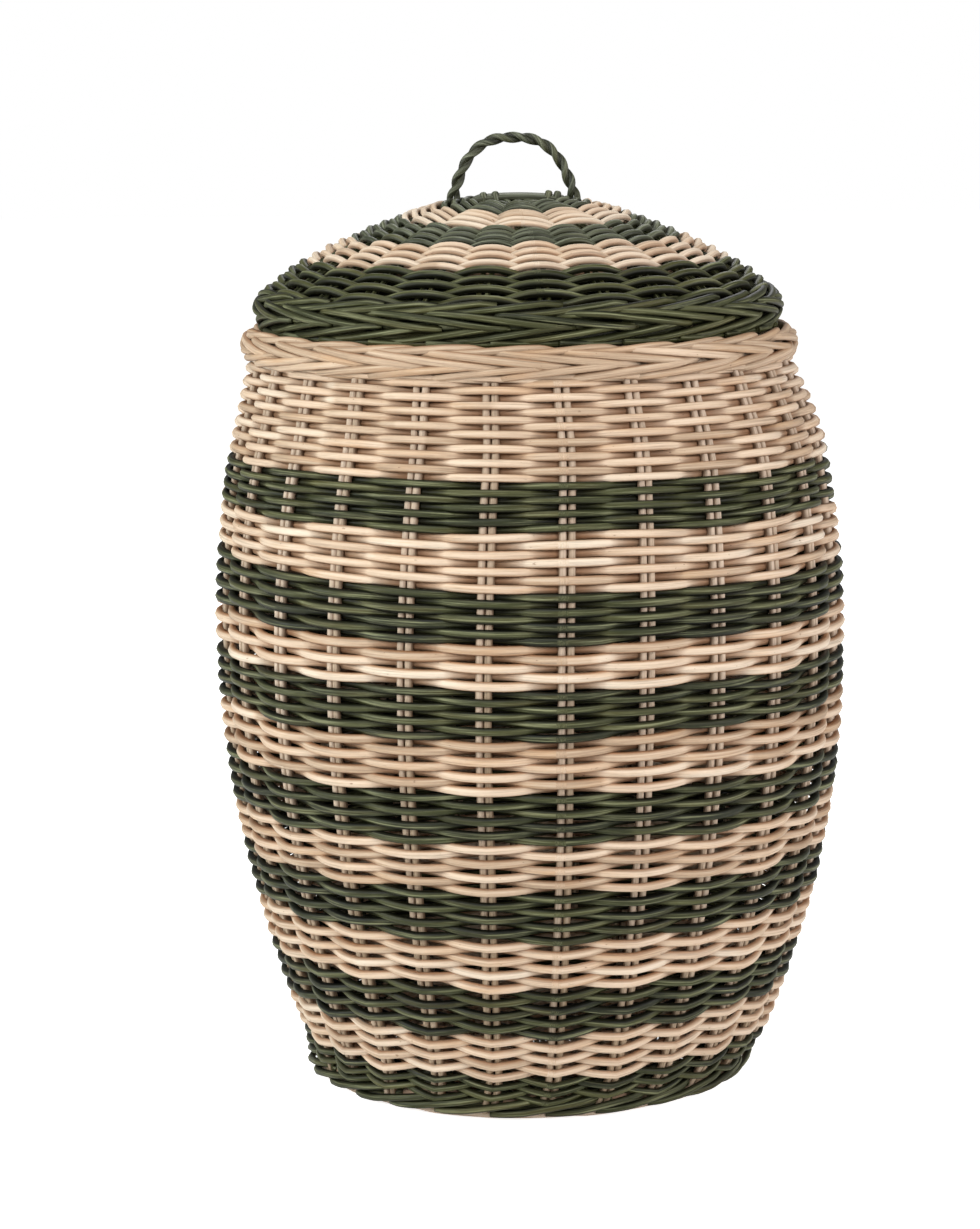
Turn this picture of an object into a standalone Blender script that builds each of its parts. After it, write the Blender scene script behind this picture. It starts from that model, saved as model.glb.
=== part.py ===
"""Lidded woven laundry basket in natural and green cane, standing on z = 0, front towards -Y.

The wall is 28 pairs of upright stakes. Fourteen woven bands, one per colour stripe, are threaded on
them between a foot and a plaited rim. The domed lid is woven on its own radial stakes and lifts off.
Metres, +Z up.
"""

import math

import bmesh
import bpy

# ---- driving dimensions ---------------------------------------------------------------------------
STAKES = 26                 # stake pairs round the wall, and round the lid
FIRST_STAKE = -83.85        # degrees from +X of the pair just right of the front
STAKE_WIDE = 0.0094         # two canes side by side
STAKE_THICK = 0.0044
GAP = 0.0003                # between pieces that touch

BELLY_RADIUS = 0.2022       # outside of the weave at its widest
BELLY_HEIGHT = 0.285
LOWER_CURVE = 0.7535        # the wall is two parabolas that meet at the belly
UPPER_CURVE = 0.92
STAKE_DEPTH = 0.0070        # from the outside of the weave to the middle of the stakes
SKIN_OUT = 0.0064           # from the middle of the stakes to the band faces
SKIN_IN = 0.0066

RIM_BOTTOM = 0.4608
RIM_TOP = 0.4828
SEAT = 0.4785               # ledge in the rim that carries the lid
FOOT_TOP = 0.0055
WALING_BOTTOM = 0.0058
WALING_TOP = 0.0142

# stripes from the rim down: colour, rows of weaving, height
STRIPES = (
    ("natural", 14, 0.0585),
    ("green", 7, 0.0290),
    ("natural", 7, 0.0310),
    ("green", 7, 0.0340),
    ("natural", 5, 0.0270),
    ("green", 7, 0.0300),
    ("natural", 7, 0.0335),
    ("green", 7, 0.0315),
    ("natural", 7, 0.0305),
    ("green", 7, 0.0315),
    ("natural", 7, 0.0320),
    ("green", 7, 0.0305),
    ("natural", 7, 0.0295),
    ("green", 5, 0.0175),
)

BASE_BOTTOM = 0.0105
BASE_TOP = 0.0180
BASE_RADIUS = 0.1308
BASE_STICK_RADIUS = 0.1290

LID_TOP = 0.5650
LID_DOME = 2.25             # the lid falls by this times the radius squared
LID_THICK = 0.0136           # square to the dome, like the wall
LID_EDGE = 0.1708
# lid zones from the middle out: name, outer radius
LID_ZONES = (
    ("lid_crown_green", 0.0480),
    ("lid_band_inner_natural", 0.0705),
    ("lid_band_inner_green", 0.1065),
    ("lid_band_outer_natural", 0.1370),
    ("lid_band_outer_green", 0.1602),
)
LID_HUB = 0.0450

STRAND = 0.0038             # handle strand diameter
STRAND_OFFSET = 0.00208     # strand centre to rope centre
HANDLE_TURNS = 2.5
# right half of the rope centre line, foot to top: x, z
HANDLE_LINE = (
    (0.0385, 0.5520),
    (0.0385, 0.5600),
    (0.0385, 0.5648),
    (0.0352, 0.5745),
    (0.0296, 0.5850),
    (0.0205, 0.5935),
    (0.0105, 0.5972),
    (0.0, 0.5980),
)

HALF = math.pi / STAKES
COLOURS = {
    "natural_cane": ((0.60, 0.43, 0.28, 1.0), 0.55),
    "green_cane": ((0.085, 0.10, 0.050, 1.0), 0.50),
}


def clear_objects():
    for item in list(bpy.data.objects):
        bpy.data.objects.remove(item, do_unlink=True)


def material(name):
    made = bpy.data.materials.get(name)
    if made is None:
        colour, roughness = COLOURS[name]
        made = bpy.data.materials.new(name)
        made.use_nodes = True
        shader = made.node_tree.nodes["Principled BSDF"]
        shader.inputs["Base Color"].default_value = colour
        shader.inputs["Roughness"].default_value = roughness
        shader.inputs["Metallic"].default_value = 0.0
    return made


def add_object(name, bm, slot, smooth=False):
    bmesh.ops.recalc_face_normals(bm, faces=bm.faces[:])
    mesh = bpy.data.meshes.new(name)
    bm.to_mesh(mesh)
    bm.free()
    for face in mesh.polygons:
        face.use_smooth = smooth
    mesh.materials.append(material(slot))
    made = bpy.data.objects.new(name, mesh)
    bpy.context.scene.collection.objects.link(made)
    return made


def stake_angle(index):
    return math.radians(FIRST_STAKE) + index * 2.0 * HALF


def on_sector(bm, angle, x, side, z):
    """Vertex x metres out along the stake direction and side metres to its left."""
    c = math.cos(angle)
    s = math.sin(angle)
    return bm.verts.new((x * c - side * s, x * s + side * c, z))


def on_corner(bm, index, x, z):
    """Vertex where two flats of the ring meet; x is the distance to the middle of a flat."""
    angle = stake_angle(index) - HALF
    r = x / math.cos(HALF)
    return bm.verts.new((r * math.cos(angle), r * math.sin(angle), z))


def ring(name, slot, profile, openings=(), smooth=False):
    """Closed ring with one flat per stake.

    profile: (x, z) points round the cross-section.
    openings: (edge, near, far, back) with near and far the slot edges on that profile edge, on the
    side of its first and second point; back is the slot's other end, given the same way as
    (edge, near, far) for a slot right through or as a (near, far) pair of points for a pocket.
    """
    bm = bmesh.new()
    count = len(profile)
    corners = [[on_corner(bm, k, x, z) for x, z in profile] for k in range(STAKES)]
    half_width = STAKE_WIDE / 2.0 + GAP
    cut = {}
    for number, opening in enumerate(openings):
        cut[opening[0]] = (number, "front")
        if len(opening[3]) == 3:
            cut[opening[3][0]] = (number, "back")
    for k in range(STAKES):
        here = corners[k]
        there = corners[(k + 1) % STAKES]
        mouths = {}
        for number, opening in enumerate(openings):
            ends = [(opening[1], opening[2])]
            ends.append(opening[3][-2:])
            for tag, pair in zip(("front", "back"), ends):
                mouths[(number, tag)] = [
                    [on_sector(bm, stake_angle(k), point[0], side, point[1]) for side in
                     (-half_width, half_width)]
                    for point in pair
                ]
            front = mouths[(number, "front")]
            back = mouths[(number, "back")]
            if len(opening[3]) == 3:
                back = back[::-1]
            bm.faces.new((front[0][0], front[0][1], back[0][1], back[0][0]))
            bm.faces.new((front[1][0], front[1][1], back[1][1], back[1][0]))
            bm.faces.new((front[0][0], front[1][0], back[1][0], back[0][0]))
            bm.faces.new((front[0][1], front[1][1], back[1][1], back[0][1]))
            if len(opening[3]) == 2:
                bm.faces.new((back[0][0], back[0][1], back[1][1], back[1][0]))
        for i in range(count):
            j = (i + 1) % count
            if i in cut:
                near, far = mouths[cut[i]]
                bm.faces.new((here[i], there[i], near[1], near[0]))
                bm.faces.new((here[j], there[j], far[1], far[0]))
                bm.faces.new((here[i], near[0], far[0], here[j]))
                bm.faces.new((there[i], near[1], far[1], there[j]))
            else:
                bm.faces.new((here[i], there[i], there[j], here[j]))
    return add_object(name, bm, slot, smooth)


def disc(name, slot, top, bottom):
    """Solid round of flats; top and bottom are (x, z) points from the rim inwards, ending at x = 0."""
    bm = bmesh.new()
    loops = []
    for points in (top, bottom):
        rings = [[on_corner(bm, k, x, z) for k in range(STAKES)] for x, z in points[:-1]]
        loops.append(rings)
        centre = bm.verts.new((0.0, 0.0, points[-1][1]))
        for outer, inner in zip(rings, rings[1:]):
            for k in range(STAKES):
                m = (k + 1) % STAKES
                bm.faces.new((outer[k], outer[m], inner[m], inner[k]))
        for k in range(STAKES):
            bm.faces.new((rings[-1][k], rings[-1][(k + 1) % STAKES], centre))
    for k in range(STAKES):
        m = (k + 1) % STAKES
        bm.faces.new((loops[0][0][k], loops[0][0][m], loops[1][0][m], loops[1][0][k]))
    return add_object(name, bm, slot)


def star(name, slot, levels):
    """Hub with one flat arm per stake; levels are (x, top, bottom) from the edge of the hub outwards."""
    bm = bmesh.new()
    half = STAKE_WIDE / 2.0
    hub, hub_top, hub_low = levels[0]
    top_corner = [on_corner(bm, k, hub, hub_top) for k in range(STAKES)]
    low_corner = [on_corner(bm, k, hub, hub_low) for k in range(STAKES)]
    top_loop = []
    low_loop = []
    for k in range(STAKES):
        sections = []
        for x, top, low in levels:
            sections.append([
                on_sector(bm, stake_angle(k), x, -half, top),
                on_sector(bm, stake_angle(k), x, half, top),
                on_sector(bm, stake_angle(k), x, half, low),
                on_sector(bm, stake_angle(k), x, -half, low),
            ])
        for a, b in zip(sections, sections[1:]):
            for i in range(4):
                bm.faces.new((a[i], a[(i + 1) % 4], b[(i + 1) % 4], b[i]))
        bm.faces.new(sections[-1])
        root = sections[0]
        m = (k + 1) % STAKES
        bm.faces.new((top_corner[k], root[0], root[3], low_corner[k]))
        bm.faces.new((root[1], top_corner[m], low_corner[m], root[2]))
        top_loop += [top_corner[k], root[0], root[1]]
        low_loop += [low_corner[k], root[3], root[2]]
    for loop, z in ((top_loop, hub_top), (low_loop, hub_low)):
        centre = bm.verts.new((0.0, 0.0, z))
        for i, vert in enumerate(loop):
            bm.faces.new((vert, loop[(i + 1) % len(loop)], centre))
    return add_object(name, bm, slot)


def hull_radius(z):
    """Outside of the weave at height z."""
    curve = LOWER_CURVE if z < BELLY_HEIGHT else UPPER_CURVE
    return BELLY_RADIUS - curve * (z - BELLY_HEIGHT) ** 2


def stake_x(z):
    return hull_radius(z) - STAKE_DEPTH


def threaded_band(name, slot, bottom, top):
    """Band of weaving between two heights with a slot through it for every stake pair."""
    low = stake_x(bottom)
    high = stake_x(top)
    half = STAKE_THICK / 2.0 + GAP
    profile = (
        (low + SKIN_OUT, bottom),
        (low - SKIN_IN, bottom),
        (high - SKIN_IN, top),
        (high + SKIN_OUT, top),
    )
    opening = (
        0,
        (low + half, bottom),
        (low - half, bottom),
        (2, (high - half, top), (high + half, top)),
    )
    return ring(name, slot, profile, (opening,))


def stake_pair(index, levels):
    bm = bmesh.new()
    half = STAKE_WIDE / 2.0
    angle = stake_angle(index)
    sections = []
    for x, z in levels:
        sections.append([
            on_sector(bm, angle, x + STAKE_THICK / 2.0, -half, z),
            on_sector(bm, angle, x + STAKE_THICK / 2.0, half, z),
            on_sector(bm, angle, x - STAKE_THICK / 2.0, half, z),
            on_sector(bm, angle, x - STAKE_THICK / 2.0, -half, z),
        ])
    for a, b in zip(sections, sections[1:]):
        for i in range(4):
            bm.faces.new((a[i], a[(i + 1) % 4], b[(i + 1) % 4], b[i]))
    bm.faces.new(sections[0])
    bm.faces.new(sections[-1])
    return add_object("stake_pair_%02d" % (index + 1), bm, "natural_cane")


def build_wall():
    bounds = [RIM_BOTTOM - GAP]
    for number, (colour, rows, height) in enumerate(STRIPES, 1):
        top = bounds[-1]
        bottom = top - height
        bounds.append(bottom)
        shave = 0.0 if number == 1 else GAP
        name = "wall_band_%02d_%s" % (number, colour)
        threaded_band(name, colour + "_cane", bottom, top - shave)
    threaded_band("foot_waling_green", "green_cane", WALING_BOTTOM, WALING_TOP)
    levels = [(stake_x(WALING_BOTTOM), 0.0025)]
    levels.append((stake_x(WALING_BOTTOM), WALING_BOTTOM))
    for z in bounds[::-1]:
        levels.append((stake_x(z), z))
    levels.append((stake_x(bounds[0]), RIM_BOTTOM + 0.0095))
    for index in range(STAKES):
        stake_pair(index, levels)


def build_foot():
    x = stake_x(WALING_BOTTOM)
    half = STAKE_THICK / 2.0 + GAP
    profile = (
        (x + 0.0040, 0.0),
        (x - 0.0060, 0.0),
        (x - 0.0066, FOOT_TOP),
        (x + 0.0058, FOOT_TOP),
    )
    pocket = (
        2,
        (x - half, FOOT_TOP),
        (x + half, FOOT_TOP),
        ((x - half, 0.0022), (x + half, 0.0022)),
    )
    ring("foot_border_natural", "natural_cane", profile, (pocket,))


def build_rim():
    x = stake_x(RIM_BOTTOM - GAP)
    half = STAKE_THICK / 2.0 + GAP
    profile = (
        (x + 0.0068, RIM_BOTTOM),
        (x - SKIN_IN, RIM_BOTTOM),
        (x - 0.0060, SEAT),
        (LID_EDGE + 0.0008, SEAT),
        (LID_EDGE + 0.0014, RIM_TOP),
        (x + 0.0080, RIM_TOP - 0.0008),
        (x + 0.0096, RIM_TOP - 0.0060),
        (x + 0.0096, RIM_BOTTOM + 0.0055),
    )
    pocket = (
        0,
        (x + half, RIM_BOTTOM),
        (x - half, RIM_BOTTOM),
        ((x + half, RIM_BOTTOM + 0.0100), (x - half, RIM_BOTTOM + 0.0100)),
    )
    ring("rim_border_natural", "natural_cane", profile, (pocket,))


def build_base():
    disc(
        "base_weave", "natural_cane",
        ((BASE_RADIUS, BASE_TOP), (0.0, BASE_TOP)),
        ((BASE_RADIUS, BASE_BOTTOM), (0.0, BASE_BOTTOM)),
    )
    top = BASE_BOTTOM - GAP
    low = top - STAKE_THICK
    star("base_sticks", "natural_cane", ((LID_HUB, top, low), (BASE_STICK_RADIUS, top, low)))


def lid_height(x, depth=0.0):
    """Height of the dome at x, or of a surface that lies the given depth under it, square to it."""
    return LID_TOP - LID_DOME * x * x - depth * math.hypot(1.0, 2.0 * LID_DOME * x)


def handle_points(steps):
    """Rope centre line from the left foot over to the right foot as (x, z) pairs."""
    left = [(-x, z) for x, z in HANDLE_LINE]
    control = left + [point for point in HANDLE_LINE[::-1][1:]]
    points = []
    last = len(control) - 1
    for i in range(last):
        p0 = control[max(i - 1, 0)]
        p1 = control[i]
        p2 = control[i + 1]
        p3 = control[min(i + 2, last)]
        for step in range(steps):
            t = step / steps
            point = []
            for a in range(2):
                point.append(0.5 * (
                    2.0 * p1[a]
                    + (p2[a] - p0[a]) * t
                    + (2.0 * p0[a] - 5.0 * p1[a] + 4.0 * p2[a] - p3[a]) * t * t
                    + (3.0 * p1[a] - p0[a] - 3.0 * p2[a] + p3[a]) * t ** 3
                ))
            points.append(tuple(point))
    points.append(control[-1])
    return points


def handle_strand(name, phase, sides=6):
    line = handle_points(3)
    bm = bmesh.new()
    rings = []
    last = len(line) - 1
    for i, (x, z) in enumerate(line):
        a = line[max(i - 1, 0)]
        b = line[min(i + 1, last)]
        length = math.hypot(b[0] - a[0], b[1] - a[1])
        along = ((b[0] - a[0]) / length, (b[1] - a[1]) / length)
        out = (-along[1], along[0])
        share = min(max((i - 5) / (last - 10.0), 0.0), 1.0)
        turn = phase + share * HANDLE_TURNS * 2.0 * math.pi
        off_out = STRAND_OFFSET * math.cos(turn)
        off_y = STRAND_OFFSET * math.sin(turn)
        loop = []
        for s in range(sides):
            around = 2.0 * math.pi * s / sides
            radial = STRAND / 2.0 * math.cos(around) + off_out
            across = STRAND / 2.0 * math.sin(around) + off_y
            loop.append(bm.verts.new((x + out[0] * radial, across, z + out[1] * radial)))
        rings.append(loop)
    for a, b in zip(rings, rings[1:]):
        for s in range(sides):
            m = (s + 1) % sides
            bm.faces.new((a[s], a[m], b[m], b[s]))
    bm.faces.new(rings[0])
    bm.faces.new(rings[-1])
    return add_object(name, bm, "green_cane", smooth=True)


def drill(target, x, y, radius, low, high, sides=8):
    """Round hole down through the target."""
    bm = bmesh.new()
    loops = []
    for z in (low, high):
        loop = []
        for s in range(sides):
            around = 2.0 * math.pi * (s + 0.5) / sides
            loop.append(bm.verts.new((x + radius * math.cos(around), y + radius * math.sin(around), z)))
        loops.append(loop)
    for s in range(sides):
        m = (s + 1) % sides
        bm.faces.new((loops[0][s], loops[0][m], loops[1][m], loops[1][s]))
    bm.faces.new(loops[0])
    bm.faces.new(loops[1])
    cutter = add_object("hole_cutter", bm, "green_cane")
    change = target.modifiers.new("hole", "BOOLEAN")
    change.operation = "DIFFERENCE"
    change.solver = "EXACT"
    change.object = cutter
    graph = bpy.context.evaluated_depsgraph_get()
    mesh = bpy.data.meshes.new_from_object(target.evaluated_get(graph))
    target.modifiers.clear()
    old = target.data
    target.data = mesh
    bpy.data.meshes.remove(old)
    bpy.data.objects.remove(cutter, do_unlink=True)


def build_lid():
    slot_top = STAKE_DEPTH - STAKE_THICK / 2.0 - GAP
    slot_low = STAKE_DEPTH + STAKE_THICK / 2.0 + GAP
    name, x = LID_ZONES[0]
    flat = lid_height(LID_HUB, slot_top)
    crown = disc(
        name, "green_cane",
        ((x, lid_height(x)), (x / 2.0, lid_height(x / 2.0)), (0.0, LID_TOP)),
        ((x, lid_height(x, slot_top)), (LID_HUB, flat), (0.0, flat)),
    )
    for inner, outer in zip(LID_ZONES, LID_ZONES[1:]):
        slot = "natural_cane" if outer[0].endswith("natural") else "green_cane"
        a = inner[1] + GAP
        b = outer[1]
        profile = (
            (b, lid_height(b)),
            (b, lid_height(b, LID_THICK)),
            (a, lid_height(a, LID_THICK)),
            (a, lid_height(a)),
        )
        opening = (
            0,
            (b, lid_height(b, slot_top)),
            (b, lid_height(b, slot_low)),
            (2, (a, lid_height(a, slot_low)), (a, lid_height(a, slot_top))),
        )
        ring(outer[0], slot, profile, (opening,))
    last = LID_ZONES[-1][1]
    levels = []
    for x in [LID_HUB] + [zone[1] for zone in LID_ZONES]:
        levels.append((x, lid_height(x, slot_top + GAP), lid_height(x, slot_low - GAP)))
    levels.append((last + 0.0038,) + levels[-1][1:])
    stakes = star("lid_stakes", "green_cane", levels)
    for side in (-1.0, 1.0):
        for offset in (-STRAND_OFFSET, STRAND_OFFSET):
            for target in (crown, stakes):
                drill(target, side * HANDLE_LINE[0][0] + offset, 0.0, STRAND / 2.0 + 0.00016, 0.54, 0.58)
    inner_x = last + GAP
    top = lid_height(inner_x)
    profile = (
        (inner_x, top),
        (inner_x, SEAT + GAP),
        (LID_EDGE - 0.0004, SEAT + GAP),
        (LID_EDGE, SEAT + 0.0085),
        (LID_EDGE - 0.0025, SEAT + 0.0175),
        (LID_EDGE - 0.0062, top - 0.0030),
    )
    pocket_top = lid_height(last, slot_top)
    pocket_low = lid_height(last, slot_low)
    pocket = (
        0,
        (inner_x, pocket_top),
        (inner_x, pocket_low),
        ((inner_x + 0.0040, pocket_top), (inner_x + 0.0040, pocket_low)),
    )
    ring("lid_border_green", "green_cane", profile, (pocket,))


clear_objects()
build_foot()
build_wall()
build_rim()
build_base()
build_lid()
handle_strand("handle_strand_a", 0.0)
handle_strand("handle_strand_b", math.pi)
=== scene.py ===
"""Looks of the woven laundry basket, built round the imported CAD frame.

Every cane is a bent round tube. The wall, the lid and the base are woven row by row over the stakes,
the borders are plaited, and the handle is a twisted pair of canes. Lengths are in metres, +Z is up and
-Y is the front. Angles go round from +X, so the front is at -90 degrees.
"""
import math

import bpy
import numpy as np
from mathutils import Matrix, Vector


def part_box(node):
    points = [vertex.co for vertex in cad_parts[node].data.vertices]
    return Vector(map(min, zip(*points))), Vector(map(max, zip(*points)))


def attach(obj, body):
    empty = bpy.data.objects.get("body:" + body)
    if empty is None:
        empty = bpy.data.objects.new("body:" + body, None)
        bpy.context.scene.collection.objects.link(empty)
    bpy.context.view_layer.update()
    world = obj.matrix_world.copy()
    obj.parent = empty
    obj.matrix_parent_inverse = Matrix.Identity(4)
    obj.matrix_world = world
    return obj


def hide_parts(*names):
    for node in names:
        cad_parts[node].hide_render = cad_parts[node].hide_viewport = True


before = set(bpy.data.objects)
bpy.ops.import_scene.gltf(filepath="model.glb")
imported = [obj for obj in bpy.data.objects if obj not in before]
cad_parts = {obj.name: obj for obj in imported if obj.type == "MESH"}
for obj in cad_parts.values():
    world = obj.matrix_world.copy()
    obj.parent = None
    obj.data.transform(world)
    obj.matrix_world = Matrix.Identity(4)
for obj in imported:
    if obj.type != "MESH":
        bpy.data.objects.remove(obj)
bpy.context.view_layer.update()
rng = np.random.default_rng(20)

UP = (0.0, 0.0, 1.0)
FULL_TURN = 2.0 * math.pi

# ---------------------------------------------------------------- dimensions, the same as in the CAD

STAKES = 26
STEP = FULL_TURN / STAKES
FIRST_STAKE = math.radians(-83.85)
BELLY_RADIUS = 0.2022
BELLY_HEIGHT = 0.285
LOWER_CURVE = 0.7535          # the wall narrows by this times the distance from the belly squared
UPPER_CURVE = 0.92
STAKE_DEPTH = 0.0070          # how far the stakes lie under the outermost surface
LID_TOP = 0.5650
LID_DOME = 2.25               # the lid falls by this times the radius squared

# ---------------------------------------------------------------- weaving

CANE_SHARE = 0.61             # radius of a weaving cane as a share of the spacing of its rows
CANE_MOST = 0.00300           # and the most it may be
STAKE_CANE = 0.00245          # radius of a stake
STAKE_APART = 0.00243         # from the middle of a pair of stakes to each of them
STAKE_SPREAD = math.radians(2.4)    # the stakes stand wider apart at the front
CREST = 0.0041                # how far a row swings out in front of a stake, and in behind it
SAMPLES = 8                   # rings of mesh from one stake to the next

# Rows of canes in each wall stripe, from the rim down, and how far each edge between two stripes leans:
# its height changes by the radius times this towards +X, and times the second figure towards +Y.
WALL_ROWS = (14, 7, 7, 7, 5, 7, 7, 7, 7, 7, 7, 7, 7, 5)
EDGE_LEAN = (
    (0.0, 0.0), (-0.005, 0.0), (-0.010, 0.0), (-0.0215, 0.02), (-0.009, 0.0),
    (-0.001, 0.0), (0.003, 0.0), (0.003, 0.0), (0.004, 0.0), (0.002, 0.0),
    (0.006, 0.0), (0.010, 0.0), (0.023, 0.0), (0.018, 0.0), (0.0, 0.0),
)
EDGE_WAVE = 0.00040           # size of the chance waves of an edge
EDGE_WAVES = 6                # of 2, 3, 4 ... crests round the basket

# Each of these gives a figure at a number of heights.
# The real basket stands slightly bent: how far its axis is off towards +X.
LEAN = (
    (0.0, -0.0044), (0.014, -0.0020), (0.028, 0.0010), (0.10, 0.0017), (0.17, 0.0015),
    (0.25, 0.0), (0.345, -0.0010), (0.385, -0.0012), (0.405, -0.0009), (0.425, -0.0019),
    (0.445, -0.0042), (0.466, -0.0058), (0.50, -0.0067), (0.60, -0.0072),
)
# It is a little wider just under its shoulder than the CAD, which is two plain parabolas.
BULGE = (
    (0.30, 0.0), (0.345, 0.0005), (0.385, 0.0019), (0.405, 0.0021), (0.425, 0.0011), (0.445, 0.0),
)
# The stakes wind slightly round it, in degrees.
WIND = (
    (0.0, -2.2), (0.05, -1.8), (0.30, 0.0), (0.345, 0.5), (0.40, 0.95), (0.43, 1.5), (0.48, 2.4),
)
# A row rides this much higher where it crosses in front of a stake, and lower where it passes behind.
LIFT = (
    (0.02, -0.0036), (0.05, -0.0030), (0.10, -0.0019), (0.15, -0.0012),
    (0.25, -0.0005), (0.30, -0.0001), (0.35, 0.0004), (0.42, 0.0008),
)
BACK_LIFT = 0.0018            # at the back of the basket this lift is so many times the height above
BACK_LEVEL = 0.62             # this level, which is over the lid, so it is below zero all the way
BENT_BELOW = 0.16             # the rows bend sharply at the stakes below this height
ROUND_ABOVE = 0.30            # and roundly above this one
BACK_THICK = 0.16             # the canes at the back are thicker by this share


# ---------------------------------------------------------------- canes as mesh

class Canes:
    """Collects bent round canes and joins them into one mesh, with attributes that follow each cane."""

    def __init__(self, sides=8):
        self.sides = sides
        self.parts = []

    def add(self, path, outward, radius, closed=False, tone=0.5, deep=0.0):
        """path is (n, 3), and outward, one vector or n of them, is where the section's first corner
        points. tone picks the colour, and deep is 1 where the cane lies behind a stake, which the
        material darkens there as painted shade."""
        path = np.asarray(path, float)
        count = len(path)
        radius = np.broadcast_to(np.asarray(radius, float), (count,))
        tone = np.broadcast_to(np.asarray(tone, float), (count,))
        deep = np.broadcast_to(np.asarray(deep, float), (count,))
        outward = np.broadcast_to(np.asarray(outward, float), (count, 3))
        if closed:
            tangent = np.roll(path, -1, 0) - np.roll(path, 1, 0)
        else:
            tangent = np.gradient(path, axis=0)
        tangent = tangent / np.linalg.norm(tangent, axis=1)[:, None]
        normal = outward - (outward * tangent).sum(1)[:, None] * tangent
        normal = normal / np.linalg.norm(normal, axis=1)[:, None]
        side = np.cross(tangent, normal)
        steps = np.linalg.norm(np.diff(path, axis=0), axis=1)
        along = np.concatenate([[0.0], np.cumsum(steps)]) + rng.uniform(0.0, 40.0)
        turn = FULL_TURN * np.arange(self.sides) / self.sides
        cos, sin = np.cos(turn), np.sin(turn)
        ring = cos[None, :, None] * normal[:, None, :] + sin[None, :, None] * side[:, None, :]
        corners = path[:, None, :] + radius[:, None, None] * ring
        grain = np.zeros((count, self.sides, 3))
        grain[..., 0] = along[:, None]
        grain[..., 1] = radius[:, None] * cos[None, :]
        grain[..., 2] = radius[:, None] * sin[None, :]
        self.parts.append((corners, grain, tone, deep, closed))

    def build(self, name, material, nodes, body):
        """One object of all the canes, which stands for these CAD nodes and rides on this body."""
        corner = np.arange(self.sides)
        following = (corner + 1) % self.sides
        co, grain, tone, deep, quads, caps = [], [], [], [], [], []
        base = 0
        for part_corners, part_grain, part_tone, part_deep, closed in self.parts:
            count = len(part_corners)
            co.append(part_corners.reshape(-1, 3))
            grain.append(part_grain.reshape(-1, 3))
            tone.append(np.repeat(part_tone, self.sides))
            deep.append(np.repeat(part_deep, self.sides))
            here = np.arange(count if closed else count - 1)
            there = (here + 1) % count
            a = base + here[:, None] * self.sides + corner[None, :]
            b = base + here[:, None] * self.sides + following[None, :]
            c = base + there[:, None] * self.sides + following[None, :]
            d = base + there[:, None] * self.sides + corner[None, :]
            quads.append(np.stack([a, b, c, d], -1).reshape(-1, 4))
            if not closed:
                caps.append(base + corner[::-1])
                caps.append(base + (count - 1) * self.sides + corner)
            base += count * self.sides
        quads = np.concatenate(quads)
        caps = np.array(caps, int).reshape(-1, self.sides)
        loops = np.concatenate([quads.ravel(), caps.ravel()])
        starts = np.concatenate([
            np.arange(len(quads)) * 4,
            len(quads) * 4 + np.arange(len(caps)) * self.sides,
        ])
        smooth = np.concatenate([np.ones(len(quads), bool), np.zeros(len(caps), bool)])
        mesh = bpy.data.meshes.new(name)
        mesh.vertices.add(base)
        co = np.concatenate(co)
        co[:, 0] += by_height(co[:, 2], LEAN)
        mesh.vertices.foreach_set("co", co.astype(np.float32).ravel())
        mesh.loops.add(len(loops))
        mesh.loops.foreach_set("vertex_index", loops.astype(np.int32))
        mesh.polygons.add(len(starts))
        mesh.polygons.foreach_set("loop_start", starts.astype(np.int32))
        mesh.update(calc_edges=True)
        mesh.polygons.foreach_set("use_smooth", smooth)
        held = mesh.attributes.new("grain", "FLOAT_VECTOR", "POINT")
        held.data.foreach_set("vector", np.concatenate(grain).astype(np.float32).ravel())
        for kind, values in (("tone", tone), ("deep", deep)):
            held = mesh.attributes.new(kind, "FLOAT", "POINT")
            held.data.foreach_set("value", np.concatenate(values).astype(np.float32))
        mesh.materials.append(material)
        obj = bpy.data.objects.new(name, mesh)
        bpy.context.scene.collection.objects.link(obj)
        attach(obj, body)
        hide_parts(*nodes)


# ---------------------------------------------------------------- shapes that repeat

def by_height(z, table):
    """The figure of one of the tables above at height z."""
    heights, values = zip(*table)
    return np.interp(z, heights, values)


def smoothstep(share):
    return share * share * (3.0 - 2.0 * share)


def eased(t, knots, values, soft=0.10):
    """Values at t between knots, with the corners rounded over a share of the whole."""
    count = 401
    fine = np.linspace(-soft, 1.0 + soft, count)
    line = np.interp(fine, knots, values)
    width = int(count * soft / (1.0 + 2.0 * soft)) | 1
    window = np.hanning(width + 2)[1:-1]
    window /= window.sum()
    padded = np.concatenate([np.full(width // 2, line[0]), line, np.full(width // 2, line[-1])])
    return np.interp(t, fine, np.convolve(padded, window, "valid"))


def looped(values, u):
    """Values given once per place, read smoothly at places u round the basket."""
    low = np.floor(u).astype(int)
    share = smoothstep(u - low)
    return values[low % len(values)] * (1.0 - share) + values[(low + 1) % len(values)] * share


def chance(size, u, places=STAKES):
    """Unevenness of about this size, another one at each place round the basket."""
    return looped(rng.normal(0.0, size, places), u)


def round_trip(samples):
    """Places once round the basket, so many from one stake to the next."""
    return np.arange(STAKES * samples) / samples


stake_wander = np.radians(rng.uniform(-0.25, 0.25, STAKES))


def stake_turn(u):
    """Angle of place u, which is a stake where it is whole and between two stakes elsewhere."""
    even = FIRST_STAKE + u * STEP
    return even + STAKE_SPREAD * np.cos(even) + looped(stake_wander, u)


def stake_angle(k):
    """Angle of stake number k."""
    return stake_turn(np.array([float(k)]))[0]


def wind(z):
    """How far the stakes have turned round the basket at this height."""
    return np.radians(by_height(z, WIND))


def polar(angle, radius, z):
    z = np.broadcast_to(z, np.shape(angle))
    return np.stack([np.cos(angle) * radius, np.sin(angle) * radius, z], -1)


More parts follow.
